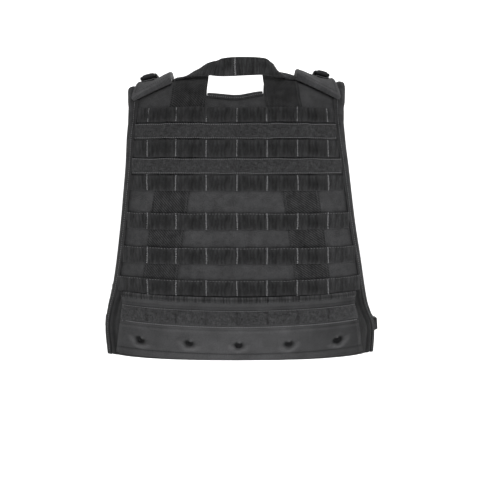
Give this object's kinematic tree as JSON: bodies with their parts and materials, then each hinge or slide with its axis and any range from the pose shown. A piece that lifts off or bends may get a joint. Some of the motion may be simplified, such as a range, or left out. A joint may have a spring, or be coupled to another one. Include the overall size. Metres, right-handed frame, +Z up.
{
  "type": "tactical vest",
  "caption": "Webbed load vest in dark cloth: padded back panel with rows of pouch webbing, loop strips, drag handle, padded buckled shoulders, side wings and a hem flap.",
  "frame": {"origin": "on the vest's centre line, midway between back and front, at the level of the shoulder straps' undersides at their middle, where it sits on the shoulders", "axes": "+Z up; the vest's back faces -Y and its front +Y; the wearer's left is -X"},
  "size_m": [0.4389, 0.2612, 0.4503],
  "materials": {
    "panel_cloth": "coarse plain-woven nylon, matt",
    "pad_cloth": "plain-woven nylon over foam, matt",
    "flap_cloth": "plain-woven nylon, matt",
    "webbing": "ribbed nylon webbing, matt",
    "loop_tape": "brushed loop pile",
    "edge_tape": "ribbed binding tape, matt",
    "moulded_plastic": "moulded, satin",
    "dark_metal": "blackened metal, satin"
  },
  "bodies": {
    "root": {"armhole_binding_left": "edge_tape", "armhole_binding_right": "edge_tape", "back_panel": "panel_cloth", "closure_flap": "flap_cloth", "drag_handle": "webbing", "flap_binding": "edge_tape", "flap_loop_strip": "loop_tape", "flap_snap_1": "dark_metal", "flap_snap_2": "dark_metal", "flap_snap_3": "dark_metal", "flap_snap_4": "dark_metal", "flap_snap_5": "dark_metal", "front_binding_left": "edge_tape", "front_binding_right": "edge_tape", "front_neck_binding": "edge_tape", "front_panel": "panel_cloth", "loop_strip_lower": "loop_tape", "loop_strip_upper": "loop_tape", "neck_binding": "edge_tape", "shoulder_buckle_left": "moulded_plastic", "shoulder_buckle_right": "moulded_plastic", "shoulder_pad_left": "pad_cloth", "shoulder_pad_right": "pad_cloth", "shoulder_strap_left": "webbing", "shoulder_strap_right": "webbing", "shoulder_webbing_left": "webbing", "shoulder_webbing_right": "webbing", "side_wing_left": "pad_cloth", "side_wing_right": "pad_cloth", "webbing_row_1": "webbing", "webbing_row_2": "webbing", "webbing_row_3": "webbing", "webbing_row_4": "webbing", "webbing_row_5": "webbing", "webbing_row_6": "webbing", "wing_buckle_left": "moulded_plastic", "wing_buckle_right": "moulded_plastic", "wing_strap_left": "webbing", "wing_strap_right": "webbing"}
  },
  "joints": []
}
